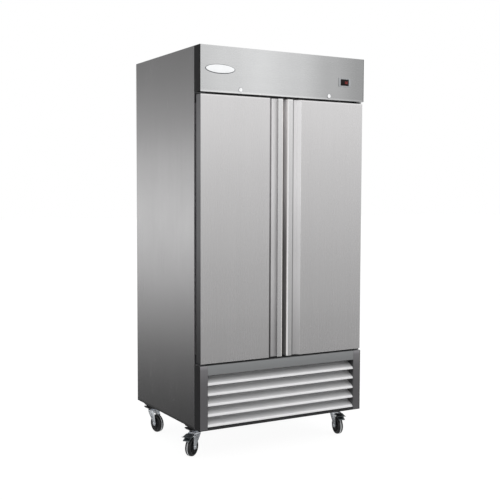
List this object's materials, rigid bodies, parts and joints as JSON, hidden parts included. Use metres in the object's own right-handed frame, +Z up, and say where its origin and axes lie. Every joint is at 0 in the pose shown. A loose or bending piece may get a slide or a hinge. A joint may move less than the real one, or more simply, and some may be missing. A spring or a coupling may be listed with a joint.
{
  "type": "reach-in refrigerator",
  "caption": "Upright reach-in refrigerator with solid doors, full-height recessed pulls, header controls, louvred base and swivel casters.",
  "frame": {"origin": "on the floor, under the middle of the cabinet and its header trim", "axes": "+Z up, -Y out of the doors, +X to the right of a person facing the doors"},
  "size_m": [1.0699, 0.81, 2.1],
  "materials": {
    "door_skin": "brushed stainless sheet, grain along the height",
    "header_skin": "brushed stainless sheet, grain along the width",
    "cabinet_skin": "brushed stainless sheet in a darker satin",
    "frame_skin": "satin stainless sheet",
    "grille_skin": "satin stainless sheet",
    "galvanised": "galvanised sheet",
    "liner": "satin liner sheet",
    "foam": "rigid insulation foam",
    "black_cap": "moulded black end cap",
    "bezel": "satin grey bezel",
    "display": "dark display window",
    "lock_metal": "polished lock",
    "zinc": "zinc plated",
    "black_paint": "black powder coat",
    "seal": "soft magnetic gasket",
    "wheel_rubber": "black caster wheel",
    "pedal_metal": "dark zinc brake pedal",
    "shelf_wire": "coated shelf rod",
    "coil": "finned coil",
    "fan_metal": "fan blade",
    "fan_plastic": "moulded fan blade"
  },
  "bodies": {
    "cabinet": {"outer_shell": "cabinet_skin", "insulation_foam": "foam", "interior_liner": "liner", "front_frame": "frame_skin", "centre_mullion": "frame_skin", "machine_floor": "galvanised", "rear_cover": "galvanised", "header_panel": "header_skin", "header_end_cap_left": "black_cap", "header_end_cap_right": "black_cap", "controller": "bezel", "base_grille": "grille_skin", "base_end_cap_left": "black_cap", "base_end_cap_right": "black_cap", "caster_channel_front": "black_paint", "caster_channel_rear": "black_paint", "hinge_top_left": "zinc", "hinge_top_right": "zinc", "hinge_bottom_left": "zinc", "hinge_bottom_right": "zinc", "shelf_left_1": "shelf_wire", "shelf_right_1": "shelf_wire", "shelf_left_2": "shelf_wire", "shelf_right_2": "shelf_wire", "shelf_left_3": "shelf_wire", "shelf_right_3": "shelf_wire", "compressor": "black_paint", "condenser_coil": "coil", "condenser_fan_shroud": "black_paint", "evaporator_housing": "liner", "caster_front_left_plate": "zinc", "caster_front_right_plate": "zinc", "caster_rear_left_plate": "zinc", "caster_rear_right_plate": "zinc"},
    "door_left": {"door_left_skin": "door_skin", "door_left_core": "foam", "door_left_inner_panel": "liner", "door_left_gasket": "seal"},
    "door_right": {"door_right_skin": "door_skin", "door_right_core": "foam", "door_right_inner_panel": "liner", "door_right_gasket": "seal"},
    "lock_left": {"lock_left": "lock_metal"},
    "lock_right": {"lock_right": "lock_metal"},
    "swivel_front_left": {"caster_front_left_fork": "zinc", "caster_front_left_axle": "zinc"},
    "wheel_front_left": {"caster_front_left_wheel": "wheel_rubber"},
    "swivel_front_right": {"caster_front_right_fork": "zinc", "caster_front_right_axle": "zinc"},
    "wheel_front_right": {"caster_front_right_wheel": "wheel_rubber"},
    "swivel_rear_left": {"caster_rear_left_fork": "zinc", "caster_rear_left_axle": "zinc"},
    "wheel_rear_left": {"caster_rear_left_wheel": "wheel_rubber"},
    "swivel_rear_right": {"caster_rear_right_fork": "zinc", "caster_rear_right_axle": "zinc"},
    "wheel_rear_right": {"caster_rear_right_wheel": "wheel_rubber"},
    "pedal_front_left": {"brake_pedal_front_left": "pedal_metal"},
    "pedal_front_right": {"brake_pedal_front_right": "pedal_metal"},
    "condenser_fan": {"condenser_fan": "fan_metal"},
    "evaporator_fan": {"evaporator_fan": "fan_plastic"}
  },
  "joints": [
    {"name": "door_left_hinge", "type": "hinge", "parent": "cabinet", "child": "door_left", "pos_m": [-0.478, -0.377, 0.507], "axis": [0, 0, -1], "range_deg": [0, 110]},
    {"name": "door_right_hinge", "type": "hinge", "parent": "cabinet", "child": "door_right", "pos_m": [0.478, -0.377, 0.507], "axis": [0, 0, 1], "range_deg": [0, 110]},
    {"name": "lock_left_turn", "type": "hinge", "parent": "cabinet", "child": "lock_left", "pos_m": [-0.271, -0.385, 1.889], "axis": [0, 1, 0], "range_deg": [0, 90]},
    {"name": "lock_right_turn", "type": "hinge", "parent": "cabinet", "child": "lock_right", "pos_m": [0.271, -0.385, 1.889], "axis": [0, 1, 0], "range_deg": [0, 90]},
    {"name": "caster_front_left_swivel", "type": "hinge", "parent": "cabinet", "child": "swivel_front_left", "pos_m": [-0.447, -0.238, 0.122], "axis": [0, 0, 1], "continuous": true},
    {"name": "caster_front_left_roll", "type": "hinge", "parent": "swivel_front_left", "child": "wheel_front_left", "pos_m": [-0.47685, -0.25813, 0.04976], "axis": [0.5592, -0.829, 0], "continuous": true},
    {"name": "brake_front_left_press", "type": "hinge", "parent": "swivel_front_left", "child": "pedal_front_left", "pos_m": [-0.47933, -0.25981, 0.113], "axis": [0.5592, -0.829, 0], "range_deg": [0, 8]},
    {"name": "caster_front_right_swivel", "type": "hinge", "parent": "cabinet", "child": "swivel_front_right", "pos_m": [0.447, -0.238, 0.122], "axis": [0, 0, 1], "continuous": true},
    {"name": "caster_front_right_roll", "type": "hinge", "parent": "swivel_front_right", "child": "wheel_front_right", "pos_m": [0.4405, -0.27341, 0.04976], "axis": [0.9836, -0.1805, 0], "continuous": true},
    {"name": "brake_front_right_press", "type": "hinge", "parent": "swivel_front_right", "child": "pedal_front_right", "pos_m": [0.43996, -0.27636, 0.113], "axis": [0.9836, -0.1805, 0], "range_deg": [0, 8]},
    {"name": "caster_rear_left_swivel", "type": "hinge", "parent": "cabinet", "child": "swivel_rear_left", "pos_m": [-0.447, 0.3, 0.122], "axis": [0, 0, 1], "continuous": true},
    {"name": "caster_rear_left_roll", "type": "hinge", "parent": "swivel_rear_left", "child": "wheel_rear_left", "pos_m": [-0.44075, 0.26455, 0.04976], "axis": [0.9848, 0.1736, 0], "continuous": true},
    {"name": "caster_rear_right_swivel", "type": "hinge", "parent": "cabinet", "child": "swivel_rear_right", "pos_m": [0.447, 0.3, 0.122], "axis": [0, 0, 1], "continuous": true},
    {"name": "caster_rear_right_roll", "type": "hinge", "parent": "swivel_rear_right", "child": "wheel_rear_right", "pos_m": [0.47818, 0.282, 0.04976], "axis": [0.5, 0.866, 0], "continuous": true},
    {"name": "condenser_fan_spin", "type": "hinge", "parent": "cabinet", "child": "condenser_fan", "pos_m": [-0.14, -0.238, 0.325], "axis": [0, 1, 0], "continuous": true},
    {"name": "evaporator_fan_spin", "type": "hinge", "parent": "cabinet", "child": "evaporator_fan", "pos_m": [0, -0.14, 1.953], "axis": [0, 1, 0], "continuous": true}
  ]
}
